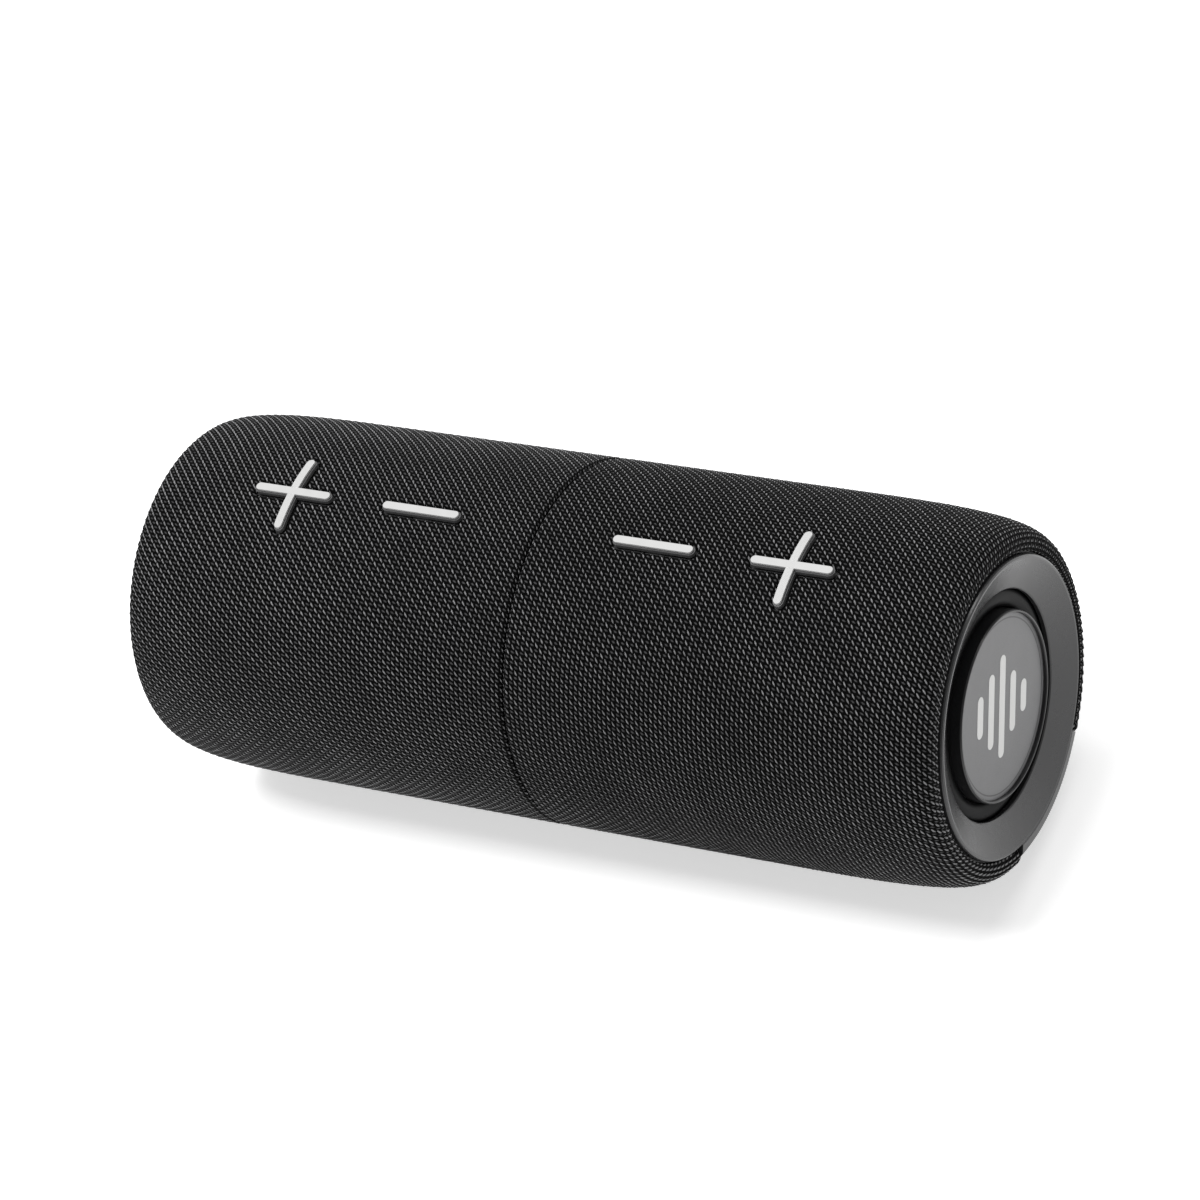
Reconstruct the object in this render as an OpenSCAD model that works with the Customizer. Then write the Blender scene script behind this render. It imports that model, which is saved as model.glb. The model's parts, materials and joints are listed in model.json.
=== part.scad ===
// Portable bluetooth speaker: two equal cylindrical units that magnets hold end to end.
// Both units come from the same modules: the left one is the right one turned half round about Z.
// Each sub-part is drawn in the unit's own frame: axis along X, mating plane at x = 0, keys at +Z,
// driver facing -Y, feet at -Z. Millimetres.

/* [Body] */
// Outside diameter of the cloth
body_d = 80; // [79:0.5:82]
// Length of one unit, from the mating plane to the lip of its end ring
unit_len = 98.8; // [98:0.2:101]
// Length along the axis over which the outer end rounds off
shoulder_len = 44; // [36:1:46]
// How much the radius drops over the rounded end
shoulder_drop = 6.5; // [6:0.1:7]
// Power of the superellipse that the rounded end follows
shoulder_power = 3.4; // [2.6:0.1:4]
// Thickness of the cloth with its backing
cloth_t = 1.35; // [1.2:0.05:1.4]
// Width of the groove between the two cloth edges at the middle
seam_w = 0.7; // [0.4:0.1:1]

/* [End ring and passive radiator] */
// Outside radius of the end ring
ring_r = 32; // [31.8:0.1:32.1]
// Inside radius of the dished ring
dish_r = 24.4; // [24.2:0.1:24.8]
// Depth of the dish, from the lip to its inner edge
dish_depth = 3.1; // [2.5:0.1:3.5]
// Outside radius of the puck that the radiator carries
puck_r = 20.25; // [19.8:0.05:20.4]
// How far the puck's rim lies behind the end ring's lip
puck_inset = 1.65; // [1.5:0.05:2]

/* [Keys] */
// Distance of the plus key from the mating plane
plus_x = 60.9; // [58:0.1:63]
// Distance of the minus key from the mating plane
minus_x = 28.4; // [27:0.1:32]
// Length of a key's bar
key_len = 18.8; // [16:0.1:20]
// Width of a key's bar
key_w = 1.8; // [1.4:0.1:2.2]
// How far the keys stand above the cloth
key_rise = 0.8; // [0.6:0.05:1.1]
// Travel of every key and button
key_travel = 0.5; // [0.3:0.05:0.5]

/* [Base] */
// Half of the angle that the base strip leaves free of cloth
strip_half_angle = 27.5; // [26:0.5:29]
// Distance of each foot ridge from the middle of the strip, to the middle of its flat
foot_y = 11.6; // [11:0.1:12]
// How far the feet stand below the cloth's circle
foot_drop = 0.6; // [0.5:0.1:1]
// Distance of the power button from the mating plane
power_x = 20; // [18:0.5:21]
// Distance of the pairing button from the mating plane
mode_x = 34; // [33:0.5:35]
// Distance of the charging port from the mating plane
port_x = 62; // [60:0.5:64]

/* [Driver] */
// Distance of the driver's axis from the mating plane
driver_x = 52; // [50:0.5:54]
// Distance of the driver's flange from the unit's axis
driver_y = 29.45; // [29.3:0.05:29.5]

/* [Hidden] */
$fn = 96;
PIECES = [
    "cloth_sleeve", "shell", "end_ring", "base_strip", "dock_plate", "dock_magnets", "radiator_frame",
    "radiator_surround", "radiator_puck", "badge", "driver_basket", "driver_surround", "driver_cone",
    "voice_coil", "spider", "driver_magnet", "driver_yoke", "main_board", "battery_cell", "light_pipe",
    "usb_socket", "button_board", "plus_key", "minus_key", "key_mat", "power_button", "mode_button",
    "port_flap", "feet", "screws"
];
SIDES = ["left", "right"];

body_r = body_d / 2;
axis_h = body_r + foot_drop;
fit = 0.05;
gap = 0.3;
sweep_steps = 12;

cloth_in = body_r - cloth_t;
cloth_end = unit_len - 0.3;
shell_out = cloth_in - fit;
shell_t = 2.4;
shell_in = shell_out - shell_t;
shell_start = 2.6;
shell_end = cloth_end - cloth_t - fit;
mouth_x = 90.2;
flange_x = 88.2;
flange_r = 29;

strip_t = 1.3;
strip_out = shell_out + 0.2;
strip_in = strip_out - strip_t;
strip_end = unit_len - 0.2;

plate_x = 0.05;
dock_screw_r = 33.2;
dock_screw_angles = [45, 135, 225, 315];
magnet_ring_r = 22;
magnet_r = 5;
magnet_t = 3;

puck_front = unit_len - puck_inset;
badge_r = puck_r - 0.65;
badge_t = 0.35;
puck_face = puck_front - 0.85 - badge_t;
roll_in = puck_r + 0.1;
roll_out = dish_r + 0.2;
frame_x = mouth_x + fit;
surround_x = 93.6;

key_top = body_r + key_rise;
key_bottom = cloth_in + key_travel + 0.15;
key_foot_w = key_w + 0.6;
key_foot_h = 0.85;
key_arc = 26.3;
hub_r = 2.5;
hub_top = shell_out - 0.2;
hub_bottom = shell_in - 0.6;
key_flange_r = 4.5;
key_flange_t = 1;
slot_gap = 0.35;

board_t = 1.2;
button_board_z = 31.6;
button_board_size = [54, 29.6];
switch_h = 1.1;
main_board_z = -30;
main_board_size = [76, 34];
base_switch_h = 3.8;
base_button_r = 3.5;
base_button_out = strip_out + 0.2;

port_size = [9.2, 3.5];
socket_size = [8.9, 3.2];
socket_depth = 7.3;
flap_size = [20, 9];
flap_t = 1;
flap_out = strip_out - 0.1;
plug_size = [7.3, 2];
plug_h = 1.2;
foot_x = [12, 84];
foot_flat = 3.6;
foot_seat = strip_out - 0.6;

cell_r = 9.1;
cell_len = 65;
cell_pos = [12, 15, -12];
saddle_x = [20, 66];

driver_ring_r = 20.3;
driver_hole_r = 16.5;
driver_screw_r = 18.6;
board_screws = [[15.5, -11], [77, 11]];

// --- shared shapes -------------------------------------------------------------------------

// Turns a profile of (radius, x) about the unit's axis, from an angle counted from -Z towards +Y
module spin(from = 0, sweep = 360) {
    rotate([0, 90, 0]) rotate([0, 0, from]) rotate_extrude(angle = sweep) children();
}

// Round bar along the unit's axis direction
module rod_x(r, x0, x1) {
    translate([x0, 0, 0]) rotate([0, 90, 0]) cylinder(r = r, h = x1 - x0);
}

// Bar with round ends, length along X, standing from z = 0 to h
module stadium(length, width, h) {
    linear_extrude(h) stadium_2d(length, width);
}

module stadium_2d(length, width) {
    half = (length - width) / 2;
    square([2 * half, width], center = true);
    for (side = [-1, 1]) translate([side * half, 0]) circle(d = width, $fn = 32);
}

// Radius and x along the rounded end of a surface that lies at radius r and stops at x = last
function shoulder(r, last) = [
    for (i = [0:sweep_steps])
        let (a = 90 * i / sweep_steps)
        [
            r - shoulder_drop * (1 - pow(cos(a), 2 / shoulder_power)),
            last - shoulder_len * (1 - pow(sin(a), 2 / shoulder_power))
        ]
];

function backwards(list) = [for (i = [len(list) - 1:-1:0]) list[i]];

// Puts a unit's piece in the object's frame
module unit(side) {
    turn = side == "left" ? 180 : 0;
    translate([0, 0, axis_h]) rotate([0, 0, turn]) children();
}

// --- outside ---------------------------------------------------------------------------------

module cloth_sleeve() {
    edge = seam_w / 2;
    outer = concat([[body_r - 0.5, edge], [body_r - 0.15, edge + 0.15], [body_r, edge + 0.6]],
        shoulder(body_r, cloth_end), [[ring_r + 0.4, cloth_end - 0.3]]);
    inner = concat([[cloth_in, edge]], shoulder(cloth_in, cloth_end - cloth_t));
    color("#26272a") difference() {
        spin(strip_half_angle, 360 - 2 * strip_half_angle) polygon(concat(outer, backwards(inner)));
        translate([plus_x, 0, cloth_in - 3]) key_outline(slot_gap, key_rise + 6);
        translate([minus_x, 0, cloth_in - 3]) {
            stadium(key_len + 0.6 + 2 * slot_gap, key_foot_w + 2 * slot_gap, key_rise + 6);
        }
    }
}

// The plus key's outline in plan, grown by a margin
module key_outline(margin, h) {
    stadium(key_len + 0.6 + 2 * margin, key_foot_w + 2 * margin, h);
    rotate([0, 0, 90]) stadium(key_len + 0.8 + 2 * margin, key_foot_w + 2 * margin, h);
}

module shell() {
    outer = concat([[shell_out, shell_start]], shoulder(shell_out, shell_end),
        [[ring_r + 0.1, shell_end], [ring_r + 0.1, mouth_x], [flange_r, mouth_x]]);
    inner = [[flange_r, flange_x], [34.3, flange_x], [shell_in, 80], [shell_in, shell_start]];
    color("#1d1d1f") difference() {
        union() {
            spin() polygon(concat(outer, inner));
            shell_bosses();
        }
        strip_recess();
        for (x = [plus_x, minus_x]) translate([x, 0, 20]) cylinder(r = hub_r + gap, h = 30);
        for (x = [power_x, mode_x]) translate([x, 0, -50]) cylinder(r = base_button_r + gap, h = 30);
        translate([port_x, 0, -50]) stadium(port_size[0], port_size[1], 30);
        translate([(power_x + mode_x) / 2, 0, -50]) cylinder(r = 1.1, h = 18);
        sound_holes();
        for (a = dock_screw_angles) at_dock_screw(a) rod_x(1.05, -1, 12);
        driver_pilot_holes();
        board_pilot_holes();
    }
}

module at_dock_screw(a) {
    translate([0, dock_screw_r * cos(a), dock_screw_r * sin(a)]) children();
}

// Everything moulded on the inside wall: screw bosses, driver ring, board ledges and cell saddles
module shell_bosses() {
    intersection() {
        rod_x(shell_in + 0.4, shell_start, flange_x);
        union() {
            for (a = dock_screw_angles) at_dock_screw(a) rod_x(3.4, shell_start, 14);
            driver_seat();
            for (side = [-1, 1]) {
                translate([18, side > 0 ? 13.4 : -20, button_board_z - 1.2]) cube([54, 6.6, 1.15]);
                translate([8, side > 0 ? 16 : -26, main_board_z - 1.6]) cube([76, 10, 1.55]);
            }
            for (p = board_screws) translate([p[0], p[1], -40]) {
                cylinder(r = 2.4, h = 40 + main_board_z - fit);
            }
            for (x = saddle_x) cell_saddle(x);
        }
    }
}

module driver_seat() {
    translate([driver_x, -driver_y - fit, 0]) rotate([90, 0, 0]) difference() {
        cylinder(r = driver_ring_r + 0.7, h = 12);
        translate([0, 0, -1]) cylinder(r = driver_hole_r, h = 20);
    }
}

module cell_saddle(x) {
    difference() {
        translate([x, 17, cell_pos[2] - 12]) cube([3, 22, 22]);
        translate([x - 1, cell_pos[1], cell_pos[2]]) rotate([0, 90, 0]) cylinder(r = cell_r + 0.1, h = 5);
    }
}

module strip_recess() {
    margin = 0.2;
    spin(-strip_half_angle - margin, 2 * (strip_half_angle + margin)) polygon([
        [strip_in - fit, -1], [strip_in - fit, 70], [36.15, 88], [33.9, 94.4], [31, 96.5], [31, 110],
        [50, 110], [50, -1]
    ]);
}

module sound_holes() {
    pitch = 3.6;
    for (row = [-4:4], col = [-4:4]) {
        x = (col + (abs(row) % 2) / 2) * pitch;
        z = row * pitch * 0.866;
        if (norm([x, z]) < driver_hole_r - 1.6)
            translate([driver_x + x, -30, z]) rotate([90, 0, 0]) cylinder(r = 1.2, h = 12, $fn = 24);
    }
}

module driver_pilot_holes() {
    for (a = [45:90:315]) at_driver() translate([driver_screw_r * cos(a), driver_screw_r * sin(a), -1]) {
        cylinder(r = 0.8, h = 3.2);
    }
}

module board_pilot_holes() {
    for (p = board_screws) translate([p[0], p[1], main_board_z - 5]) cylinder(r = 0.8, h = 10);
}

// Driver frame: its axis along Z, front at +Z, the flange's front face at z = 0
module at_driver() {
    translate([driver_x, -driver_y, 0]) rotate([90, 0, 0]) children();
}

module end_ring() {
    lip = unit_len;
    dish_x = lip - dish_depth;
    color("#4b4c4e") spin() polygon([
        [ring_r, 92], [ring_r, lip - 0.55], [ring_r - 0.15, lip - 0.2], [ring_r - 0.5, lip],
        [ring_r - 0.9, lip - 0.05], [dish_r + 0.25, dish_x + 0.05], [dish_r, dish_x - 0.2],
        [dish_r, dish_x - 1.1], [dish_r + 0.6, dish_x - 1.1], [ring_r - 2, lip - 2.8], [ring_r - 2, 92]
    ]);
}

module base_strip() {
    edge = seam_w / 2;
    outer = concat([[strip_out - 0.4, edge], [strip_out, edge + 0.4]], shoulder(strip_out, strip_end));
    inner = [
        [ring_r + fit, strip_end - 0.1], [ring_r + fit, 96.6], [34, 94.5], [36.2, 88], [strip_in, 70],
        [strip_in, edge]
    ];
    color("#46474a") difference() {
        spin(-strip_half_angle, 2 * strip_half_angle) polygon(concat(outer, inner));
        for (x = [power_x, mode_x]) translate([x, 0, -50]) cylinder(r = base_button_r + gap, h = 30);
        translate([(power_x + mode_x) / 2, 0, -50]) cylinder(r = 1.1, h = 18);
        translate([port_x, 0, -50]) flap_outline(flap_size[0], flap_size[1], 30);
        foot_shapes(fit, foot_seat);
    }
}

// Both foot ridges, grown by a margin, down from the cylinder of radius seat
module foot_shapes(margin, seat) {
    low = -axis_h - margin;
    inside = foot_y - foot_flat / 2 - margin;
    outside = foot_y + foot_flat / 2 + margin;
    near = foot_x[0] - margin;
    far = foot_x[1] + margin;
    for (side = [0, 1]) mirror([0, side, 0]) difference() {
        intersection() {
            rotate([90, 0, 90]) linear_extrude(100) polygon([
                [inside - 1.3, -30], [inside - 1.3, low + 2.2], [inside, low], [outside, low],
                [outside + 3.4, low + 4.4], [outside + 3.4, -30]
            ]);
            rotate([90, 0, 0]) translate([0, 0, -30]) linear_extrude(60) polygon([
                [near, -30], [near, low + 2.2], [near + 2.2, low], [far - 2.2, low], [far, low + 2.2],
                [far, -30]
            ]);
        }
        rod_x(seat, 0, 100);
    }
}

module feet() {
    color("#171717") foot_shapes(0, foot_seat + 0.1);
}

module dock_plate() {
    color("#2b2b2d") difference() {
        spin() polygon([
            [0, plate_x], [shell_out - 0.8, plate_x], [shell_out - 0.1, plate_x + 0.7],
            [shell_out - 0.1, shell_start - fit], [0, shell_start - fit]
        ]);
        spin(-strip_half_angle - 0.2, 2 * strip_half_angle + 0.4) {
            polygon([[strip_in - fit, -1], [50, -1], [50, 5], [strip_in - fit, 5]]);
        }
        for (a = dock_screw_angles) at_dock_screw(a) {
            rod_x(1.4, -1, 5);
            rod_x(2.4, -1, 1.45);
        }
        for (a = [0:90:270]) at_magnet(a) rod_x(magnet_r + fit, 1, 5);
    }
}

module at_magnet(a) {
    translate([0, magnet_ring_r * cos(a), magnet_ring_r * sin(a)]) children();
}

module dock_magnets() {
    color("#b9bbbe") for (a = [0:90:270]) at_magnet(a) rod_x(magnet_r, 1 + fit, 1 + fit + magnet_t);
}

module screws() {
    color("#8a8c8f") {
        for (a = dock_screw_angles) at_dock_screw(a) {
            rod_x(1, 0.3, 10);
            rod_x(2.2, 0.25, 1.4);
        }
        for (a = [45:90:315]) at_driver() translate([driver_screw_r * cos(a), driver_screw_r * sin(a), 0]) {
            translate([0, 0, -2.3]) cylinder(r = 1.5, h = 1.05);
            translate([0, 0, -2]) cylinder(r = 0.75, h = 4);
        }
        for (p = board_screws) translate([p[0], p[1], main_board_z]) {
            translate([0, 0, board_t + fit]) cylinder(r = 1.6, h = 1.1);
            translate([0, 0, -4]) cylinder(r = 0.75, h = 5.3);
        }
    }
}

// --- passive radiator --------------------------------------------------------------------------

module radiator_frame() {
    color("#202022") spin() polygon([
        [roll_out + 0.6, surround_x - 0.8], [roll_out + 0.6, surround_x - 1.8],
        [27.6, surround_x - 1.8], [27.6, frame_x], [31.9, frame_x], [31.9, frame_x + 1.6],
        [29.6, frame_x + 1.6], [29.6, surround_x - 0.05], [28.2, surround_x - 0.05], [28.2, surround_x - 0.8]
    ]);
}

module radiator_surround() {
    roll_mid = (roll_in + roll_out) / 2;
    roll_half = (roll_out - roll_in) / 2;
    color("#0c0c0d") spin() polygon(concat(
        [[28, surround_x - 0.75], [28, surround_x - 0.1], [roll_out + 0.3, surround_x - 0.1]],
        roll_arc(roll_mid, roll_half, 1.3, surround_x, 0, 180),
        [[puck_r + 0.02, surround_x - 0.1], [puck_r + 0.02, surround_x - 0.75]],
        backwards(roll_arc(roll_mid, roll_half - 0.4, 0.9, surround_x - 0.4, 0, 180))
    ));
}

// Half roll in (radius, height), an ellipse arc from its outer edge to its inner edge
function roll_arc(mid, half, rise, base, from, to) = [
    for (i = [0:sweep_steps])
        let (a = from + (to - from) * i / sweep_steps)
        [mid + half * cos(a), base + rise * sin(a)]
];

module radiator_puck() {
    color("#38393b") spin() polygon([
        [0, 92.2], [7, 92.2], [7, 93.9], [puck_r - 1.6, 93.9], [puck_r - 1.6, 92.8], [puck_r, 92.8],
        [puck_r, puck_front - 0.35], [puck_r - 0.2, puck_front], [badge_r + 0.2, puck_front],
        [badge_r + 0.05, puck_front - 0.2], [badge_r + 0.05, puck_face], [0, puck_face]
    ]);
}

module badge() {
    color("#6f7072") rod_x(badge_r, puck_face, puck_face + badge_t);
}

// --- driver --------------------------------------------------------------------------------------

module driver_basket() {
    color("#3c3d3f") at_driver() difference() {
        rotate_extrude() polygon([
            [15, -0.6], [16.2, -0.6], [16.2, -0.05], [driver_ring_r, -0.05], [driver_ring_r, -1.2],
            [16.6, -1.2], [13.6, -7.4], [12.6, -9.9], [9.5, -9.9], [9.5, -9.1], [11.6, -9.1],
            [12.2, -7.4], [10.6, -7.4], [10.6, -6.8], [12.6, -6.8], [15, -1.5]
        ]);
        for (a = [0:90:270]) rotate([0, 0, a]) translate([8, -4, -6.2]) cube([12, 8, 4.2]);
        for (a = [45:90:315]) rotate([0, 0, a]) translate([driver_screw_r, 0, -3]) cylinder(r = 1, h = 6);
    }
}

module driver_surround() {
    color("#101010") at_driver() rotate_extrude() polygon(concat(
        [[16.1, -0.55], [16.1, -0.15], [15, -0.15]],
        roll_arc(13.4, 1.6, 1.4, -0.15, 0, 180),
        [[10.9, -0.15], [10.9, -0.55]],
        backwards(roll_arc(13.4, 1.2, 1, -0.55, 0, 180))
    ));
}

module driver_cone() {
    color("#1b1b1c") at_driver() {
        rotate_extrude() polygon([
            [4.8, -4.9], [4.8, -4.4], [10.6, -0.6], [11.8, -0.6], [11.8, -1], [10.8, -1], [5.2, -4.9]
        ]);
        translate([0, 0, -7.2]) rotate_extrude() difference() {
            intersection() {
                circle(r = 5.6);
                translate([0, 2.8]) square([10, 10]);
            }
            circle(r = 5.3);
            translate([-10, -10]) square([10, 20]);
        }
    }
}

module voice_coil() {
    color("#b8733a") at_driver() rotate_extrude() polygon([
        [4.85, -4.95], [5.15, -4.95], [5.15, -9.4], [5.55, -9.4], [5.55, -12], [5.15, -12], [5.15, -12.6],
        [4.85, -12.6]
    ]);
}

module spider() {
    waves = 3;
    top = [
        for (i = [0:24])
            let (t = i / 24)
            [5.2 + 6.6 * t, -6.15 + 0.35 * sin(360 * waves * t)]
    ];
    bottom = [for (p = top) [p[0], p[1] - 0.2]];
    color("#b9953a") at_driver() rotate_extrude() polygon(concat(top, backwards(bottom)));
}

module driver_magnet() {
    color("#57585a") at_driver() translate([0, 0, -16.4]) difference() {
        cylinder(r = 13.5, h = 4.5);
        translate([0, 0, -1]) cylinder(r = 7.5, h = 8);
    }
}

module driver_yoke() {
    color("#9a9c9f") at_driver() {
        rotate_extrude() polygon([
            [0, -18.5], [13, -18.5], [13, -16.45], [4.55, -16.45], [4.55, -10], [0, -10]
        ]);
        translate([0, 0, -11.85]) difference() {
            cylinder(r = 12.6, h = 1.9);
            translate([0, 0, -1]) cylinder(r = 6, h = 4);
        }
    }
}

// --- electronics ---------------------------------------------------------------------------------

module main_board() {
    color("#1f5a34") difference() {
        translate([8, -main_board_size[1] / 2, main_board_z]) {
            cube([main_board_size[0], main_board_size[1], board_t]);
        }
        for (p = board_screws) translate([p[0], p[1], main_board_z - 1]) cylinder(r = 1, h = 4);
    }
    color("#242527") {
        for (x = [power_x, mode_x]) translate([x - 3, -3, main_board_z - base_switch_h]) {
            cube([6, 6, base_switch_h]);
        }
        translate([40, -12, main_board_z + board_t]) cube([8, 8, 1]);
        translate([54, -10, main_board_z + board_t]) cube([12, 14, 1.6]);
        translate([26, -8, main_board_z + board_t]) cube([5, 6, 1.2]);
    }
    color("#8e9093") translate([70, -4, main_board_z + board_t]) cube([8, 9, 3]);
}

module battery_cell() {
    color("#2f6fa8") translate([cell_pos[0], cell_pos[1], cell_pos[2]]) {
        rod_x(cell_r, 0, cell_len);
        rod_x(3, cell_len, cell_len + 1);
    }
}

module light_pipe() {
    color("#e8eef2") translate([(power_x + mode_x) / 2, 0, 0]) {
        translate([0, 0, -strip_out]) cylinder(r = 1, h = strip_out + main_board_z - 1);
        translate([0, 0, -shell_in + 0.6]) cylinder(r = 1.8, h = 1.2);
    }
}

module usb_socket() {
    wall = 0.3;
    color("#b5b7ba") translate([port_x, 0, main_board_z - socket_depth]) {
        difference() {
            stadium(socket_size[0], socket_size[1], socket_depth);
            translate([0, 0, -1]) {
                stadium(socket_size[0] - 2 * wall, socket_size[1] - 2 * wall, socket_depth);
            }
        }
        translate([-3.35, -0.35, 1.3]) cube([6.7, 0.7, socket_depth - 2]);
    }
}

module button_board() {
    color("#1f5a34") translate([18, -button_board_size[1] / 2, button_board_z]) {
        cube([button_board_size[0], button_board_size[1], board_t]);
    }
    color("#242527") for (x = [plus_x, minus_x]) {
        translate([x - 3, -3, button_board_z + board_t]) cube([6, 6, switch_h]);
    }
}

// --- keys, buttons and port cover --------------------------------------------------------------

// The part of a key that passes through the shell
module key_stem() {
    translate([0, 0, hub_bottom]) cylinder(r = hub_r, h = hub_top - hub_bottom);
    translate([0, 0, hub_bottom - key_flange_t]) cylinder(r = key_flange_r, h = key_flange_t);
    translate([0, 0, hub_top - 0.1]) stadium(4, key_w, key_bottom - hub_top + 0.3);
}

module key_bar() {
    translate([0, 0, key_bottom]) {
        stadium(key_len, key_w, key_top - key_bottom);
        stadium(key_len + 0.6, key_foot_w, key_foot_h);
    }
}

module minus_key() {
    color("#e6e6e4") translate([minus_x, 0, 0]) {
        key_bar();
        key_stem();
    }
}

module plus_key() {
    color("#e6e6e4") translate([plus_x, 0, 0]) {
        key_bar();
        key_stem();
        curved_bar(key_w, key_top, key_arc);
        curved_bar(key_foot_w, key_bottom + key_foot_h, key_arc + 0.8);
    }
}

// Bar that follows the body's round, as long in plan as its angle spans at the top, with round ends
module curved_bar(width, top, angle) {
    length = 2 * key_top * sin(angle / 2);
    intersection() {
        spin() translate([key_bottom, -width]) square([top - key_bottom, 2 * width]);
        translate([0, 0, 30]) rotate([0, 0, 90]) stadium(length, width, 20);
    }
}

module key_mat() {
    sheet_z = hub_bottom - key_flange_t - key_travel - 0.1;
    color("#2c2c2e") {
        translate([24, -5, sheet_z]) cube([42, 10, 0.15]);
        for (x = [plus_x, minus_x]) translate([x, 0, sheet_z]) cylinder(r1 = 3.4, r2 = 2.4, h = 0.55);
    }
}

module base_button(x) {
    translate([x, 0, 0]) {
        translate([0, 0, -base_button_out]) cylinder(r = base_button_r, h = base_button_out - shell_in + 0.9);
        translate([0, 0, -shell_in + 0.7]) cylinder(r = base_button_r + 1.1, h = 0.8);
        translate([0, 0, -shell_in + 1.4]) {
            cylinder(r = 1.5, h = shell_in - 1.4 + main_board_z - base_switch_h - key_travel - 0.1);
        }
    }
}

module power_button() {
    color("#5a5b5e") base_button(power_x);
}

module mode_button() {
    color("#5a5b5e") base_button(mode_x);
}

// Outline of the port cover: round at the end that lifts, square at the end that it hinges on
module flap_outline(length, width, h) {
    linear_extrude(h) {
        translate([(width - length) / 2, 0]) circle(d = width);
        translate([(width - length) / 2, -width / 2]) square([length - width / 2, width]);
    }
}

// Rubber cover in the strip, with a plug that closes the socket and a round edge that it turns about
module port_flap() {
    length = flap_size[0] - 2 * gap;
    width = flap_size[1] - 2 * gap;
    back = flap_out - flap_t;
    hinge_x = length / 2 - flap_t / 2;
    color("#202021") translate([port_x, 0, 0]) {
        difference() {
            intersection() {
                rod_x(flap_out, -12, hinge_x);
                translate([0, 0, -50]) flap_outline(length, width, 20);
            }
            rod_x(back, -20, 20);
        }
        translate([0, 0, -back - 0.2]) stadium(plug_size[0], plug_size[1], plug_h + 0.2);
        translate([hinge_x, 0, flap_t / 2 - flap_out]) rotate([90, 0, 0]) {
            cylinder(d = flap_t, h = width - 1.6, center = true);
        }
    }
}

for (side = SIDES) {
    unit(side) cloth_sleeve();
    unit(side) shell();
    unit(side) end_ring();
    unit(side) base_strip();
    unit(side) dock_plate();
    unit(side) dock_magnets();
    unit(side) radiator_frame();
    unit(side) radiator_surround();
    unit(side) radiator_puck();
    unit(side) badge();
    unit(side) driver_basket();
    unit(side) driver_surround();
    unit(side) driver_cone();
    unit(side) voice_coil();
    unit(side) spider();
    unit(side) driver_magnet();
    unit(side) driver_yoke();
    unit(side) main_board();
    unit(side) battery_cell();
    unit(side) light_pipe();
    unit(side) usb_socket();
    unit(side) button_board();
    unit(side) plus_key();
    unit(side) minus_key();
    unit(side) key_mat();
    unit(side) power_button();
    unit(side) mode_button();
    unit(side) port_flap();
    unit(side) feet();
    unit(side) screws();
}
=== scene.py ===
import json
import math

import bpy
import numpy as np
from mathutils import Matrix, Vector


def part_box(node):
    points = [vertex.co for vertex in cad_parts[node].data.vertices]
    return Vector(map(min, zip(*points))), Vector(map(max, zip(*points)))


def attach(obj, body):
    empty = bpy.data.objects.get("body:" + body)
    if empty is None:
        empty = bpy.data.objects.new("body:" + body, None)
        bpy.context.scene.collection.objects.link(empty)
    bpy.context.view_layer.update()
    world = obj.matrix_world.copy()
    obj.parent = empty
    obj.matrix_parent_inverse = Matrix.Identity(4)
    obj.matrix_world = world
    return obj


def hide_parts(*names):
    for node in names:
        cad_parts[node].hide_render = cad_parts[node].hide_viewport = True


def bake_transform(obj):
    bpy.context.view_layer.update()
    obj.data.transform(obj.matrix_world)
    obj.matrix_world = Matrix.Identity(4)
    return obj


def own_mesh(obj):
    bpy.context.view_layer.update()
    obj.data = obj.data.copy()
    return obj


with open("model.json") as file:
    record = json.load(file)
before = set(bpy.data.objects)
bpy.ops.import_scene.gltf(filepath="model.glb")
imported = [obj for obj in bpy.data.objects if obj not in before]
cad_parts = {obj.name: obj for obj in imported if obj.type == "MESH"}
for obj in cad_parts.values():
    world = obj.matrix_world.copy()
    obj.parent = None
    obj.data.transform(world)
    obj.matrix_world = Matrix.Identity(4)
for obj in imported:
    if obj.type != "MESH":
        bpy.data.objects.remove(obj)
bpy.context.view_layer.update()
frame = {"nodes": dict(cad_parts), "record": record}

MM = 0.001
SIDES = ("left", "right")

# --- Places. Lengths are in millimetres in the right unit's own frame: axis along X, mating plane at
# --- x = 0, keys at +Z. The left unit is the same, turned half round. AXIS_Z is in metres.
AXIS_Z = sum(corner.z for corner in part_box("end_ring_right")) / 2


def span(node, axis):
    """Lowest and highest place of a right-hand node along X, Y or Z, in mm from the unit's origin."""
    low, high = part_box(node)
    shift = AXIS_Z if axis == 2 else 0
    return (low[axis] - shift) / MM, (high[axis] - shift) / MM


SEAM_X, CLOTH_END = span("cloth_sleeve_right", 0)
BODY_R = span("cloth_sleeve_right", 2)[1]
RING_R = span("end_ring_right", 2)[1]
PORT_X = sum(span("usb_socket_right", 0)) / 2

# The cloth's shape, with the numbers that the CAD model has for it
STRIP_HALF_ANGLE = math.radians(27.5)
SHOULDER_LEN, SHOULDER_DROP, SHOULDER_POWER = 44, 6.5, 3.4
CLOTH_T = 1.35

# A distance that counts as out of reach, one that counts as none, and the least safe divisor
FAR, NO_LENGTH, TINY = 99, 1e-6, 1e-9


def unit_matrix(side):
    """Takes millimetres in the unit's frame to the object's frame in metres."""
    turn = math.pi if side == "left" else 0
    return Matrix.Translation((0, 0, AXIS_Z)) @ Matrix.Rotation(turn, 4, "Z") @ Matrix.Scale(MM, 4)


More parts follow.
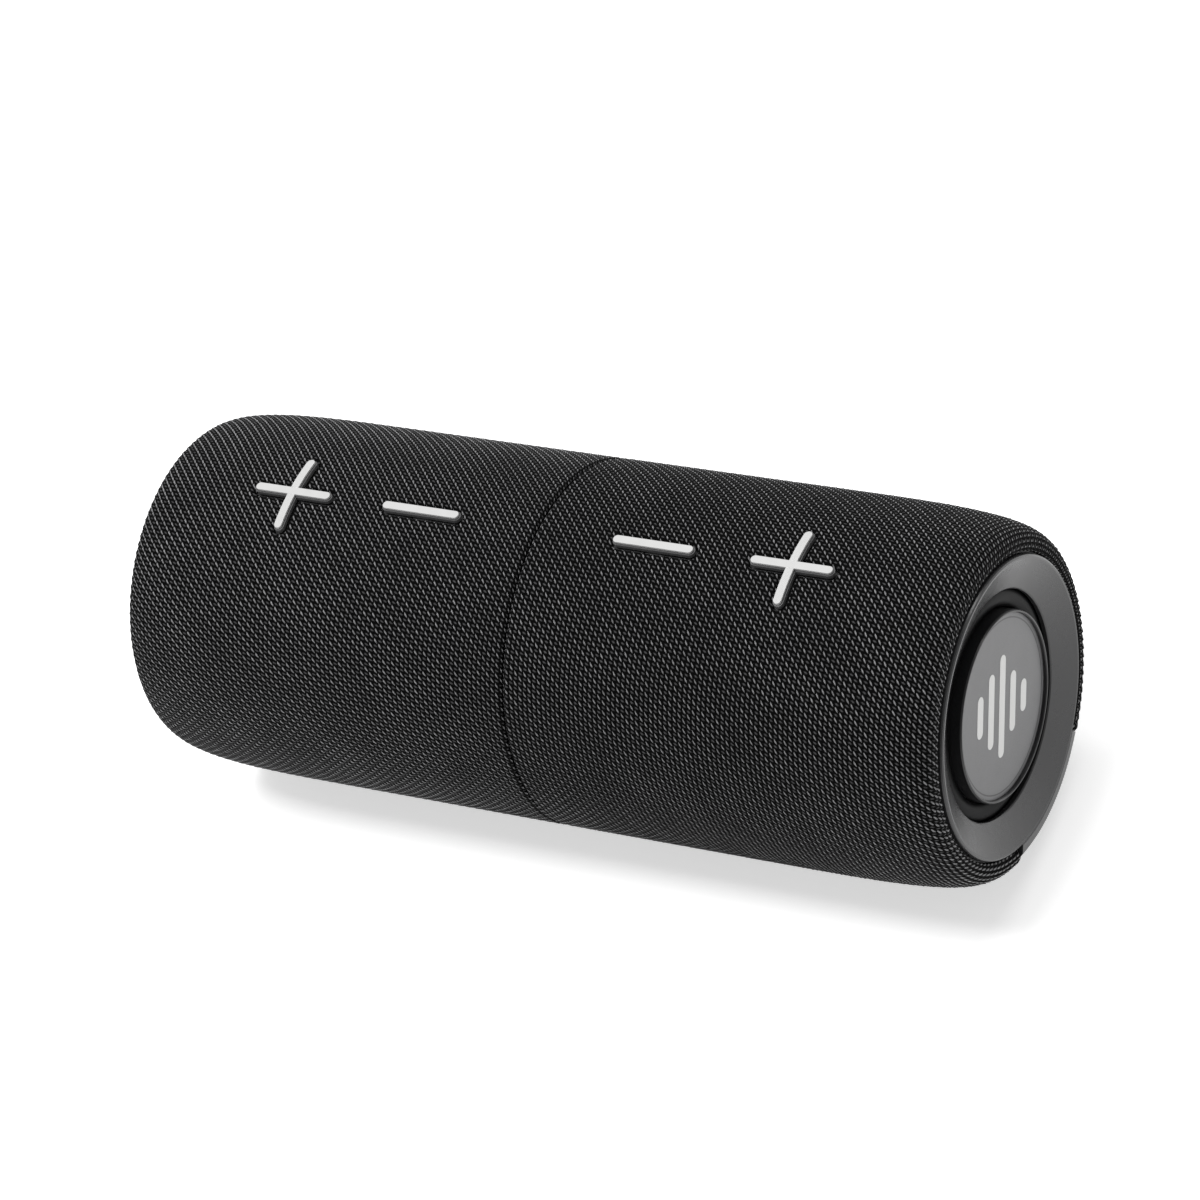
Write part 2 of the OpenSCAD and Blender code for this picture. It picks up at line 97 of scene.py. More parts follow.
# --- Camera: the photograph's viewing angle. The body lies rolled about its axis there, so the
# --- camera is placed round a level body first and then turned with it.
ROLL = math.radians(39.7)
CAMERA_AZIMUTH = math.radians(30.58)
CAMERA_ELEVATION = math.radians(15.23)
CAMERA_DISTANCE = 1.07296
CAMERA_TARGET = Vector((0.00037, 0, 0.00938))
CAMERA_LENS, CAMERA_SENSOR = 150.14, 36


def rolled():
    """Turns the level frame, in which the camera and lights are placed, into the object's frame."""
    return Matrix.Translation((0, 0, AXIS_Z)) @ Matrix.Rotation(-ROLL, 4, "X")


def direction(azimuth, elevation):
    """Unit vector towards a place round the body, azimuth 0 at -Y and 90 degrees at +X."""
    return Vector((
        math.sin(azimuth) * math.cos(elevation),
        -math.cos(azimuth) * math.cos(elevation),
        math.sin(elevation),
    ))


def add_camera():
    back = direction(CAMERA_AZIMUTH, CAMERA_ELEVATION)
    level = Matrix.Translation(CAMERA_TARGET + back * CAMERA_DISTANCE)
    data = bpy.data.cameras.new("camera")
    data.lens, data.sensor_width = CAMERA_LENS, CAMERA_SENSOR
    camera = bpy.data.objects.new("camera", data)
    camera.matrix_world = rolled() @ level @ back.to_track_quat("Z", "Y").to_matrix().to_4x4()
    bpy.context.scene.collection.objects.link(camera)
    bpy.context.scene.camera = camera


add_camera()


# --- Mesh helpers ------------------------------------------------------------------------------

def new_piece(name, points, faces, matrix, material, smooth=True):
    """A mesh object from points in some frame and the matrix from that frame to the object's."""
    mesh = bpy.data.meshes.new(name)
    mesh.from_pydata([tuple(p) for p in points], [], faces)
    mesh.transform(matrix)
    mesh.polygons.foreach_set("use_smooth", [smooth] * len(mesh.polygons))
    mesh.materials.append(material)
    piece = bpy.data.objects.new(name, mesh)
    bpy.context.scene.collection.objects.link(piece)
    return piece


def lathe(profile, steps=160, closed=True):
    """Points and faces of (radius, height) points turned about Z, the surface on the left of the
    profile's direction facing out."""
    points, faces, rings = [], [], []
    for radius, height in profile:
        if radius < NO_LENGTH:
            rings.append([len(points)] * steps)
            points.append((0, 0, height))
            continue
        rings.append(range(len(points), len(points) + steps))
        for k in range(steps):
            a = 2 * math.pi * k / steps
            points.append((radius * math.cos(a), radius * math.sin(a), height))
    pairs = list(zip(rings, rings[1:]))
    if closed:
        pairs.append((rings[-1], rings[0]))
    for ring, following in pairs:
        for k in range(steps):
            after = (k + 1) % steps
            corners = [ring[k], ring[after], following[after], following[k]]
            face = [c for i, c in enumerate(corners) if c not in corners[:i]]
            if len(face) > 2:
                faces.append(face)
    return points, faces


def stadium(length, width, steps=10):
    """Outline of a bar with round ends, along X."""
    half = (length - width) / 2
    outline = []
    for side in (1, -1):
        for k in range(steps + 1):
            a = -math.pi / 2 + math.pi * k / steps
            outline.append((side * (half + width / 2 * math.cos(a)), side * width / 2 * math.sin(a)))
    return outline


def slab(outline, low, high, bevel=0.03):
    """Points and faces of an outline raised from low to high, its top edge bevelled."""
    count = len(outline)
    centre = Vector((sum(p[0] for p in outline) / count, sum(p[1] for p in outline) / count))
    points = [(x, y, low) for x, y in outline] + [(x, y, high - bevel) for x, y in outline]
    for x, y in outline:
        inward = (centre - Vector((x, y))).normalized() * bevel
        points.append((x + inward.x, y + inward.y, high))
    faces = [list(range(count))[::-1], list(range(2 * count, 3 * count))]
    for level in (0, count):
        for k in range(count):
            after = (k + 1) % count
            faces.append([level + k, level + after, level + count + after, level + count + k])
    return points, faces


def joined(parts):
    """Several (points, faces) as one."""
    points, faces = [], []
    for some_points, some_faces in parts:
        faces += [[i + len(points) for i in face] for face in some_faces]
        points += [tuple(p) for p in some_points]
    return points, faces


def moved(part, matrix):
    points, faces = part
    return [tuple(matrix @ Vector(p)) for p in points], faces


def carved(part, cutter):
    """part with cutter taken out of it, both (points, faces)."""
    objects = []
    for points, faces in (part, cutter):
        mesh = bpy.data.meshes.new("carving")
        mesh.from_pydata([tuple(p) for p in points], [], faces)
        objects.append(bpy.data.objects.new("carving", mesh))
        bpy.context.scene.collection.objects.link(objects[-1])
    cut = objects[0].modifiers.new("cut", "BOOLEAN")
    cut.operation, cut.object, cut.solver = "DIFFERENCE", objects[1], "EXACT"
    made = objects[0].evaluated_get(bpy.context.evaluated_depsgraph_get()).to_mesh()
    result = [tuple(v.co) for v in made.vertices], [list(p.vertices) for p in made.polygons]
    for o in objects:
        bpy.data.objects.remove(o)
    return result


# Lays a lathe's Z axis along the unit's X axis
TO_AXIS = Matrix.Rotation(math.pi / 2, 4, "Y")
# Stands a bar that lies along X up along Y
TURN_UP = Matrix.Rotation(math.pi / 2, 4, "Z")


def along_axis(side):
    return unit_matrix(side) @ TO_AXIS


# --- Materials ---------------------------------------------------------------------------------

class Tree:
    """A material's node tree, with short calls for the nodes that the finishes need."""

    def __init__(self, name):
        self.material = bpy.data.materials.new(name)
        self.material.use_nodes = True
        self.nodes = self.material.node_tree.nodes
        self.shader = self.nodes["Principled BSDF"]

    def link(self, source, socket):
        self.material.node_tree.links.new(source, socket)

    def feed(self, value, socket):
        """Sets a socket to a number, or links it to another node's output."""
        if isinstance(value, bpy.types.NodeSocket):
            self.link(value, socket)
        else:
            socket.default_value = value

    def math(self, operation, a, b=0.0, clamp=False):
        node = self.nodes.new("ShaderNodeMath")
        node.operation, node.use_clamp = operation, clamp
        self.feed(a, node.inputs[0])
        self.feed(b, node.inputs[1])
        return node.outputs[0]

    def millimetres(self):
        """The place on the piece in its own frame, in mm."""
        place = self.nodes.new("ShaderNodeTexCoord").outputs["Object"]
        scaled = self.nodes.new("ShaderNodeVectorMath")
        scaled.operation = "SCALE"
        self.link(place, scaled.inputs[0])
        scaled.inputs["Scale"].default_value = 1 / MM
        return scaled.outputs[0]

    def parts(self, vector):
        split = self.nodes.new("ShaderNodeSeparateXYZ")
        self.link(vector, split.inputs[0])
        return split.outputs

    def vector(self, x, y, z=0.0):
        made = self.nodes.new("ShaderNodeCombineXYZ")
        for value, socket in zip((x, y, z), made.inputs):
            self.feed(value, socket)
        return made.outputs[0]

    def off_axis(self, place):
        """Distance from the body's axis, in mm."""
        _, y, z = self.parts(place)
        z = self.math("SUBTRACT", z, AXIS_Z / MM)
        squares = [self.math("MULTIPLY", w, w) for w in (y, z)]
        return self.math("SQRT", self.math("ADD", *squares))

    def noise(self, place, size, detail=4.0, roughness=0.55):
        """Noise from 0 to 1 whose features are about size across, in the units of place."""
        node = self.nodes.new("ShaderNodeTexNoise")
        self.link(place, node.inputs["Vector"])
        node.inputs["Scale"].default_value = 1 / size
        node.inputs["Detail"].default_value = detail
        node.inputs["Roughness"].default_value = roughness
        return node.outputs["Fac"]

    def cells(self, place, size):
        """Distance from the middle of each grain, in the units of place over size."""
        node = self.nodes.new("ShaderNodeTexVoronoi")
        self.link(place, node.inputs["Vector"])
        node.inputs["Scale"].default_value = 1 / size
        return node.outputs["Distance"]

    def between(self, factor, low, high):
        """Maps 0 to 1 onto low to high."""
        node = self.nodes.new("ShaderNodeMapRange")
        self.feed(factor, node.inputs["Value"])
        node.inputs["To Min"].default_value = low
        node.inputs["To Max"].default_value = high
        return node.outputs["Result"]

    def step(self, value, low, high):
        """0 below low, 1 above high, smooth between."""
        node = self.nodes.new("ShaderNodeMapRange")
        node.interpolation_type = "SMOOTHSTEP"
        self.feed(value, node.inputs["Value"])
        node.inputs["From Min"].default_value = low
        node.inputs["From Max"].default_value = high
        return node.outputs["Result"]

    def blend(self, factor, first, second):
        """Colour from first to second; each a colour or an output."""
        node = self.nodes.new("ShaderNodeMix")
        node.data_type = "RGBA"
        self.feed(factor, node.inputs["Factor"])
        for value, socket in ((first, node.inputs[6]), (second, node.inputs[7])):
            self.feed(value if isinstance(value, bpy.types.NodeSocket) else (*value, 1), socket)
        return node.outputs[2]

    def edges(self, radius):
        """1 along the edges of a piece, within about radius mm, and 0 on its flat faces."""
        bevel = self.nodes.new("ShaderNodeBevel")
        bevel.samples = 4
        bevel.inputs["Radius"].default_value = radius * MM
        flat = self.nodes.new("ShaderNodeNewGeometry").outputs["True Normal"]
        dot = self.nodes.new("ShaderNodeVectorMath")
        dot.operation = "DOT_PRODUCT"
        self.link(bevel.outputs[0], dot.inputs[0])
        self.link(flat, dot.inputs[1])
        return self.step(self.math("SUBTRACT", 1.0, dot.outputs["Value"]), 0.02, 0.25)

    def relief(self, height, depth):
        """Bump of a 0 to 1 height that is depth mm deep."""
        bump = self.nodes.new("ShaderNodeBump")
        bump.inputs["Distance"].default_value = depth * MM
        self.feed(height, bump.inputs["Height"])
        self.link(bump.outputs[0], self.shader.inputs["Normal"])

    def set(self, **values):
        """Sets the shader's own sockets; a word's underscores stand for spaces."""
        for name, value in values.items():
            self.feed(value, self.shader.inputs[name.replace("_", " ")])


def grained(name, colour, roughness, grain=0.35, depth=0.02, vary=0.12, edge_lift=0.25,
            metallic=0.0, specular=0.5):
    """Moulded or coated finish: a fine grain, uneven gloss, and edges a little lighter in patches.
    grain and depth are in mm; vary, and how much lighter the edges get, are shares of the colour."""
    tree = Tree(name)
    place = tree.millimetres()
    cloudy = tree.noise(place, 9.0)
    fine = tree.noise(place, grain, detail=3.0)
    dark = tuple(c * (1 - vary) for c in colour)
    light = tuple(min(1.0, c * (1 + vary)) for c in colour)
    body = tree.blend(cloudy, dark, light)
    # Edges, found with a bevel, made a little lighter in random patches
    lighter_edge_colour = tuple(min(1.0, c * (1 + edge_lift) + 0.02 * edge_lift) for c in colour)
    lighter_edge_patches = tree.math("MULTIPLY", tree.edges(0.25), tree.between(tree.noise(place, 2.5), 0.2, 0.8))
    tree.set(
        Base_Color=tree.blend(lighter_edge_patches, body, lighter_edge_colour),
        Metallic=metallic,
        Roughness=tree.between(tree.math("ADD", cloudy, tree.math("MULTIPLY", fine, 0.5)),
                               roughness * 0.8, roughness * 1.1),
        Specular_IOR_Level=specular,
    )
    tree.relief(fine, depth)
    return tree.material


# slot: colour, roughness and what else differs from the usual grain
FINISHES = {
    "shell_plastic": dict(colour=(0.012, 0.012, 0.013), roughness=0.55, grain=0.25, depth=0.03),
    "satin_plastic": dict(colour=(0.026, 0.026, 0.027), roughness=0.27, grain=0.16, depth=0.006, vary=0.06),
    "dock_plastic": dict(colour=(0.018, 0.018, 0.02), roughness=0.5, grain=0.22, depth=0.03),
    "magnet_plating": dict(colour=(0.62, 0.62, 0.63), roughness=0.22, metallic=1.0, depth=0.004),
    "surround_rubber": dict(
        colour=(0.002, 0.002, 0.0022), roughness=0.4, depth=0.004, edge_lift=0, specular=0.06,
    ),
    "puck_plastic": dict(colour=(0.014, 0.014, 0.015), roughness=0.33, grain=0.2, depth=0.006, vary=0.08),
    "basket_steel": dict(colour=(0.03, 0.03, 0.033), roughness=0.45, grain=0.6, depth=0.015),
    "cone_paper": dict(colour=(0.014, 0.014, 0.014), roughness=0.85, grain=0.5, depth=0.08, vary=0.3),
    "ferrite": dict(colour=(0.05, 0.05, 0.054), roughness=0.6, grain=0.12, depth=0.03, vary=0.25),
    "zinc_steel": dict(colour=(0.5, 0.5, 0.5), roughness=0.34, metallic=1.0, grain=0.3, depth=0.01),
    "silicone": dict(colour=(0.03, 0.03, 0.03), roughness=0.7, grain=0.4, depth=0.02),
    "button_plastic": dict(colour=(0.06, 0.061, 0.064), roughness=0.34, grain=0.18, depth=0.006),
    "flap_rubber": dict(colour=(0.015, 0.015, 0.016), roughness=0.62, grain=0.14, depth=0.02),
    "foot_rubber": dict(colour=(0.011, 0.011, 0.011), roughness=0.75, grain=0.3, depth=0.04, vary=0.25),
    "screw_steel": dict(colour=(0.2, 0.2, 0.205), roughness=0.36, metallic=1.0, grain=0.2, depth=0.006),
    "print_ink": dict(colour=(0.62, 0.62, 0.61), roughness=0.5, grain=0.1, depth=0.004, vary=0.03, edge_lift=0.0),
}


# How far the yarn on top leans out of its own direction
LEAN = 0.42
# Half length and half width, in yarns, of the ovals where yarns pass over
ROUND_FLOAT = (0.72, 0.31)
LONG_FLOAT = (0.6, 0.27)
LONG_FLOAT_HEIGHT = 0.6
STRANDS_PER_YARN = 11.0
# The holes between yarns get a near-black colour as painted shade, and the yarn floats a light colour as
# painted highlight
HOLE_SHADE_COLOUR, YARN_COLOUR = (0.0003, 0.0003, 0.0003), (0.008, 0.008, 0.0085)
STRAND_COLOUR, PAINTED_HIGHLIGHT_COLOUR = (0.024, 0.024, 0.025), (0.27, 0.27, 0.275)


def cloth_material():
    """Plain weave of thick dark yarn. UV counts yarns: U along the body, V round it. The yarns that
    run round the body lie on top where U + V is even, and are seen as short slanted dashes: painted
    highlights of light colour on their floats, with fainter ones on the long yarns' floats. The holes
    between the yarns are painted almost black as shade."""
    tree = Tree("cloth")
    u, v, _ = tree.parts(tree.nodes.new("ShaderNodeUVMap").outputs[0])
    half_sum = tree.math("MULTIPLY", tree.math("ADD", u, v), 0.5)
    half_difference = tree.math("MULTIPLY", tree.math("SUBTRACT", u, v), 0.5)

    def from_crossing(shift):
        """Place along U and V from the nearest crossing of one parity."""
        offsets = [
            tree.math("SUBTRACT", tree.math("FRACT", tree.math("ADD", w, shift)), 0.5)
            for w in (half_sum, half_difference)
        ]
        return tree.math("ADD", *offsets), tree.math("SUBTRACT", *offsets)

    def float_dome(along, across, oval):
        """Height of a yarn where it passes over: 1 at its middle, 0 at the edge of its oval."""
        ratios = [tree.math("DIVIDE", along, oval[0]), tree.math("DIVIDE", across, oval[1])]
        squares = [tree.math("MULTIPLY", ratio, ratio) for ratio in ratios]
        return tree.math("SUBTRACT", 1.0, tree.math("ADD", *squares), clamp=True)

    du, dv = from_crossing(0.5)
    leaning = tree.math("SUBTRACT", du, tree.math("MULTIPLY", dv, LEAN))
    round_yarn = float_dome(dv, leaning, ROUND_FLOAT)
    eu, ev = from_crossing(0.0)
    sloping = tree.math("SUBTRACT", ev, tree.math("MULTIPLY", eu, LEAN))
    long_yarn = tree.math("MULTIPLY", float_dome(eu, sloping, LONG_FLOAT), LONG_FLOAT_HEIGHT)
    top = tree.math("MAXIMUM", round_yarn, long_yarn)

    along_strands = tree.vector(tree.math("MULTIPLY", leaning, STRANDS_PER_YARN), tree.math("ADD", v, u))
    strands = tree.noise(along_strands, 1.0, 2.0)
    patchy = tree.between(tree.noise(tree.millimetres(), 11.0), 0.5, 1.5)
    uneven = tree.between(tree.noise(tree.vector(u, v), 0.9, 1.0), 0.2, 1.8)
    # Painted highlight: strong on the floats of the yarns that run round the body, faint on the long yarns'
    # floats, uneven in patches
    highlight_round = tree.step(round_yarn, 0.3, 0.9)
    highlight_long = tree.math("MULTIPLY", tree.step(long_yarn, 0.25, 0.6), 0.2)
    highlight_mask = tree.math("ADD", highlight_round, highlight_long)
    painted_highlight = tree.math("MULTIPLY", highlight_mask, tree.math("MULTIPLY", patchy, uneven))
    # The holes between the yarns are painted almost black as shade
    yarn = tree.blend(tree.step(top, 0.15, 0.7), HOLE_SHADE_COLOUR, YARN_COLOUR)
    streaks = tree.math("MULTIPLY", strands, tree.step(top, 0.1, 0.5))
    streaked = tree.blend(streaks, yarn, STRAND_COLOUR)
    tree.set(
        Base_Color=tree.blend(tree.math("MULTIPLY", painted_highlight, 0.85), streaked, PAINTED_HIGHLIGHT_COLOUR),
        Roughness=tree.between(top, 0.9, 0.36),
        Specular_IOR_Level=0.08,
    )
    tree.relief(tree.math("ADD", top, tree.math("MULTIPLY", strands, 0.25)), 0.35)
    return tree.material


# From the body's surface to where a key's flange ends and its cap begins; the flange is painted dark grey as
# shade
FLANGE_EDGE = (0.3, 0.42)


def key_material():
    """Satin keys: the flange, within a radius of the body's axis, is painted dark grey as shade below the
    white cap.
    """
    tree = Tree("key_plastic")
    place = tree.millimetres()
    cap = tree.step(tree.off_axis(place), BODY_R + FLANGE_EDGE[0], BODY_R + FLANGE_EDGE[1])
    fine = tree.noise(place, 0.15, detail=3.0)
    cloudy = tree.noise(place, 3.0)
    white = tree.blend(cloudy, (0.5, 0.5, 0.497), (0.57, 0.57, 0.565))
    # The flange is painted dark grey: painted shade on the lower side of each key
    tree.set(
        Base_Color=tree.blend(cap, (0.09, 0.09, 0.091), white),
        Roughness=tree.between(cloudy, 0.38, 0.46),
    )
    tree.relief(fine, 0.006)
    return tree.material


BADGE_LINE_R = 18.6


def badge_material():
    """Printed disc: flat grey ink over a fine screen of dots, with one thin darker line near its rim."""
    tree = Tree("badge_print")
    place = tree.millimetres()
    off_line = tree.math("ABSOLUTE", tree.math("SUBTRACT", tree.off_axis(place), BADGE_LINE_R))
    rim = tree.math("SUBTRACT", 1.0, tree.step(off_line, 0.1, 0.2))
    dots = tree.cells(place, 0.16)
    ink = tree.blend(tree.noise(place, 6.0), (0.122, 0.122, 0.125), (0.15, 0.15, 0.153))
    screened = tree.blend(tree.math("MULTIPLY", dots, 0.25), ink, (0.09, 0.09, 0.092))
    tree.set(
        Base_Color=tree.blend(rim, screened, (0.03, 0.03, 0.032)),
        Roughness=tree.between(dots, 0.38, 0.5),
    )
    tree.relief(dots, 0.004)
    return tree.material


TRACKS = {
    "Scale": 0.55,
    "Mortar Size": 0.05,
    "Color1": (0, 0, 0, 1),
    "Color2": (0.15, 0.15, 0.15, 1),
    "Mortar": (1, 1, 1, 1),
}


def board_material():
    """Circuit board: green solder mask over tracks, darker in random patches."""
    tree = Tree("board")
    place = tree.millimetres()
    x, y, _ = tree.parts(place)
    tracks = tree.nodes.new("ShaderNodeTexBrick")
    tree.link(tree.vector(x, y), tracks.inputs["Vector"])
    for name, value in TRACKS.items():
        tracks.inputs[name].default_value = value
    mask = tree.blend(tracks.outputs["Color"], (0.008, 0.055, 0.022), (0.02, 0.12, 0.05))
    tree.set(Base_Color=tree.blend(tree.noise(place, 5.0), mask, (0.012, 0.075, 0.03)), Roughness=0.32)
    tree.relief(tracks.outputs["Color"], 0.03)
    return tree.material


WIRE_PITCH = 0.2


def winding_material():
    """Enamelled wire wound side by side round the coil, darker in the grooves between turns as painted
    shade.
    """
    tree = Tree("copper")
    place = tree.millimetres()
    _, y, _ = tree.parts(place)
    turns = tree.math("ABSOLUTE", tree.math("SINE", tree.math("MULTIPLY", y, math.pi / WIRE_PITCH)))
    tree.set(Base_Color=tree.blend(turns, (0.3, 0.1, 0.03), (0.75, 0.33, 0.14)), Metallic=1.0, Roughness=0.3)
    tree.relief(turns, 0.06)
    return tree.material


def woven_material(name, dark, light, pitch):
    """Small plain weave stiffened with resin, darker along the gaps between its yarns as painted shade."""
    tree = Tree(name)
    place = tree.millimetres()
    x, _, z = tree.parts(place)
    waves = [tree.math("SINE", tree.math("MULTIPLY", w, math.pi / pitch)) for w in (x, z)]
    over = tree.math("ABSOLUTE", tree.math("MULTIPLY", waves[0], waves[1]))
    tree.set(
        Base_Color=tree.blend(over, dark, light),
        Roughness=tree.between(tree.noise(place, 1.0), 0.5, 0.8),
    )
    tree.relief(over, 0.06)
    return tree.material


def cell_material():
    """Shrink wrap drawn over a steel can."""
    tree = Tree("cell_wrap")
    place = tree.millimetres()
    x, y, z = tree.parts(place)
    crease_relief_and_shade = tree.noise(tree.vector(tree.math("MULTIPLY", x, 0.3), y, z), 2.0)
    # Colour follows the crease relief: darker in the hollows as painted shade, lighter on the ridges
    tree.set(
        Base_Color=tree.blend(crease_relief_and_shade, (0.012, 0.09, 0.27), (0.03, 0.16, 0.42)),
        Roughness=tree.between(crease_relief_and_shade, 0.2, 0.34),
        Coat_Weight=0.4,
    )
    tree.relief(crease_relief_and_shade, 0.08)
    return tree.material


def lens_material():
    """Frosted acrylic that scatters the status light."""
    tree = Tree("clear_lens")
    haze = tree.noise(tree.millimetres(), 0.4)
    tree.set(
        Base_Color=tree.blend(haze, (0.7, 0.73, 0.75), (0.86, 0.88, 0.9)),
        Roughness=tree.between(haze, 0.15, 0.3),
        Subsurface_Weight=0.4,
        Subsurface_Scale=0.002,
    )
    tree.relief(haze, 0.01)
    return tree.material


# Where the tongue ends along X and Y from its middle: the outer and the inner side of its soft edge
TONGUE_END_X, TONGUE_END_Y = (3.45, 3.36), (0.5, 0.4)


def socket_material():
    """Plated shell with a black tongue between its walls."""
    tree = Tree("socket_steel")
    place = tree.millimetres()
    x, y, _ = tree.parts(place)
    off_middle = tree.math("ABSOLUTE", tree.math("SUBTRACT", tree.math("ABSOLUTE", x), PORT_X))
    within_x = tree.step(off_middle, *TONGUE_END_X)
    within_y = tree.step(tree.math("ABSOLUTE", y), *TONGUE_END_Y)
    inside = tree.math("MULTIPLY", within_x, within_y)
    drawn = tree.noise(place, 0.3)
    metal = tree.blend(drawn, (0.5, 0.5, 0.51), (0.66, 0.66, 0.67))
    tree.set(
        Base_Color=tree.blend(inside, metal, (0.012, 0.012, 0.012)),
        Metallic=tree.math("SUBTRACT", 1.0, inside),
        Roughness=tree.between(drawn, 0.25, 0.4),
    )
    tree.relief(drawn, 0.006)
    return tree.material


MATERIALS = {slot: grained(slot, **finish) for slot, finish in FINISHES.items()}
MATERIALS |= {
    "cloth": cloth_material(),
    "key_plastic": key_material(),
    "badge_print": badge_material(),
    "board": board_material(),
    "copper": winding_material(),
    "spider_cloth": woven_material("spider_cloth", (0.16, 0.09, 0.02), (0.5, 0.32, 0.09), 0.45),
    "cell_wrap": cell_material(),
    "clear_lens": lens_material(),
    "socket_steel": socket_material(),
}


def finish_cad_nodes():
    """Gives every carried-over CAD node the material that its record names."""
    slots = {part["node"]: part["material_slot"] for part in frame["record"]["subparts"]}
    for name, node in frame["nodes"].items():
        node.data.materials.clear()
        node.data.materials.append(MATERIALS[slots[name]])


finish_cad_nodes()


# --- Cloth sleeves -----------------------------------------------------------------------------
# From yarn to yarn along the body and round it, and from the face's middle to its highest yarns
YARN_X, YARN_ROUND = 1.12, 1.08
WEAVE_RISE = 0.18
# Share of a yarn by which the crossings slide along the body
SLANT = 0.17
# Radii of the rolls at the seam and along the strip, and of the corner where strip and ring meet
ROLL_R, STRIP_ROLL, CORNER_R = 0.5, 0.9, 3.5
# From the mating plane to the cloth's tucked edge, which is pressed against the other unit's, and
# how far past the start of the sleeve the floor of the seam's groove goes
SEAM_GAP, SEAM_FLOOR = 0.01, 0.15
TUCKED_R = BODY_R - CLOTH_T + 0.03
# How the cloth passes the end ring: clear of it at the roll, then close to it and this far down
RING_GAP, TUCK_GAP, TUCK_DEPTH = 0.35, 0.25, 2.2
# From the end of the cloth's length to where the round corner begins
CORNER_INSET = 1.6
# Extra columns of points this far from each edge of the strip
EDGE_COLUMNS = (0.1, 0.28)
# The weave flattens within these distances of the seam, the end ring, the strip and a key slot, to
# no less than LEAST_WEAVE of its height except at a slot
QUIET_SEAM, QUIET_END, QUIET_STRIP, QUIET_SLOT = 1.2, 2.0, 1.0, 0.8
LEAST_WEAVE = 0.25
# How much crossings and whole yarns differ in height, as a share of WEAVE_RISE
CROSSING_SPREAD, YARN_SPREAD = 0.06, 0.07
# Room round a key, and the width of the slot that it stands in
SLOT_ROOM, SLOT_W = 0.7, 3.1
# Points this near a slot's outline go onto it, and points this far inside make the upright wall
SLOT_SNAP, SLOT_REACH, WALL_GAP = 0.3, 1, 0.03
# Radius of the roll at a slot's outline, and how many times deeper than that roll the cloth sinks
SLOT_ROLL, SLOT_SINK = 0.5, 1.5
# Faces whose middle is deeper than this inside a slot are left out
SLOT_OPEN = -0.45
# The cloth's side along the strip, and how much of its face the yarns there go on for
SIDE_DEPTH, SIDE_YARNS = 0.9, 0.8


def shoulder(r, last, steps=60):
    """(radius, x) along the rounded outer end of a surface at radius r that stops at x = last."""
    a = np.linspace(0, math.pi / 2, steps)
    power = 2 / SHOULDER_POWER
    drop = SHOULDER_DROP * (1 - np.clip(np.cos(a), 0, 1) ** power)
    return np.stack([r - drop, last - SHOULDER_LEN * (1 - np.sin(a) ** power)], axis=1)


def sleeve_profile():
    """(radius, x), outward normal and arc length of the middle of the cloth's face, half a yarn
    apart, from where it rolls in at the seam to where it tucks in behind the end ring."""
    face = BODY_R - WEAVE_RISE
    a = np.linspace(0, math.pi / 2, 12)
    seam = np.stack([face - ROLL_R + ROLL_R * np.sin(a), SEAM_X + ROLL_R - ROLL_R * np.cos(a)], axis=1)
    inside = [[TUCKED_R, SEAM_GAP], [TUCKED_R, SEAM_X + SEAM_FLOOR]]
    last = CLOTH_END - WEAVE_RISE
    end_r = face - SHOULDER_DROP
    roll = end_r - (RING_R + RING_GAP)
    tuck = np.stack([end_r - roll * np.sin(a), last - roll + roll * np.cos(a)], axis=1)[1:]
    tucked = [[RING_R + TUCK_GAP, last - TUCK_DEPTH]]
    line = np.concatenate([inside, seam, shoulder(face, last), tuck, tucked])
    keep = np.r_[True, np.linalg.norm(np.diff(line, axis=0), axis=1) > NO_LENGTH]
    line = line[keep]
    length = np.r_[0, np.cumsum(np.linalg.norm(np.diff(line, axis=0), axis=1))]
    count = round(length[-1] / (YARN_X / 2))
    arc = np.linspace(0, length[-1], count + 1)
    r, x = (np.interp(arc, length, line[:, k]) for k in (0, 1))
    across = np.stack([np.gradient(x, arc), -np.gradient(r, arc)], axis=1)
    across /= np.linalg.norm(across, axis=1)[:, None]
    return r, x, across, arc


def weave_height(u, v):
    """Height of the woven face from -1 in the holes to 1 on the yarns that run round the body."""
    over = np.cos(math.pi * u) * np.cos(math.pi * v)
    ridge_u, ridge_v = np.cos(2 * math.pi * u), np.cos(2 * math.pi * v)
    return 0.4 * over + 0.4 * (ridge_u + ridge_v) + 0.08 * (ridge_u - ridge_v) - 0.2


def bar_distance(x, y, length, width):
    """Distance outside a bar with round ends that lies along x, and the direction away from it."""
    beyond = np.sign(x) * np.maximum(np.abs(x) - (length - width) / 2, 0)
    far = np.maximum(np.hypot(beyond, y), TINY)
    return far - width / 2, beyond / far, y / far


def key_slots():
    """(centre x, length, width, runs round the body) of each slot that the keys stand in."""
    slots = []
    for key in ("plus_key_right", "minus_key_right"):
        low, high = span(key, 0)
        middle = (low + high) / 2
        slots.append((middle, high - low + SLOT_ROOM, SLOT_W, False))
        if key.startswith("plus"):
            wide = span(key, 1)
            slots.append((middle, wide[1] - wide[0] + SLOT_ROOM, SLOT_W, True))
    return slots


def slot_distance(x, y):
    """Distance to the nearest key slot in plan, and the direction away from it."""
    best = (np.full(x.shape, np.inf), np.zeros(x.shape), np.zeros(x.shape))
    for middle, length, width, turned in key_slots():
        if turned:
            d, away_y, away_x = bar_distance(y, x - middle, length, width)
        else:
            d, away_x, away_y = bar_distance(x - middle, y, length, width)
        nearer = d < best[0]
        best = tuple(np.where(nearer, new, old) for new, old in zip((d, away_x, away_y), best))
    return best


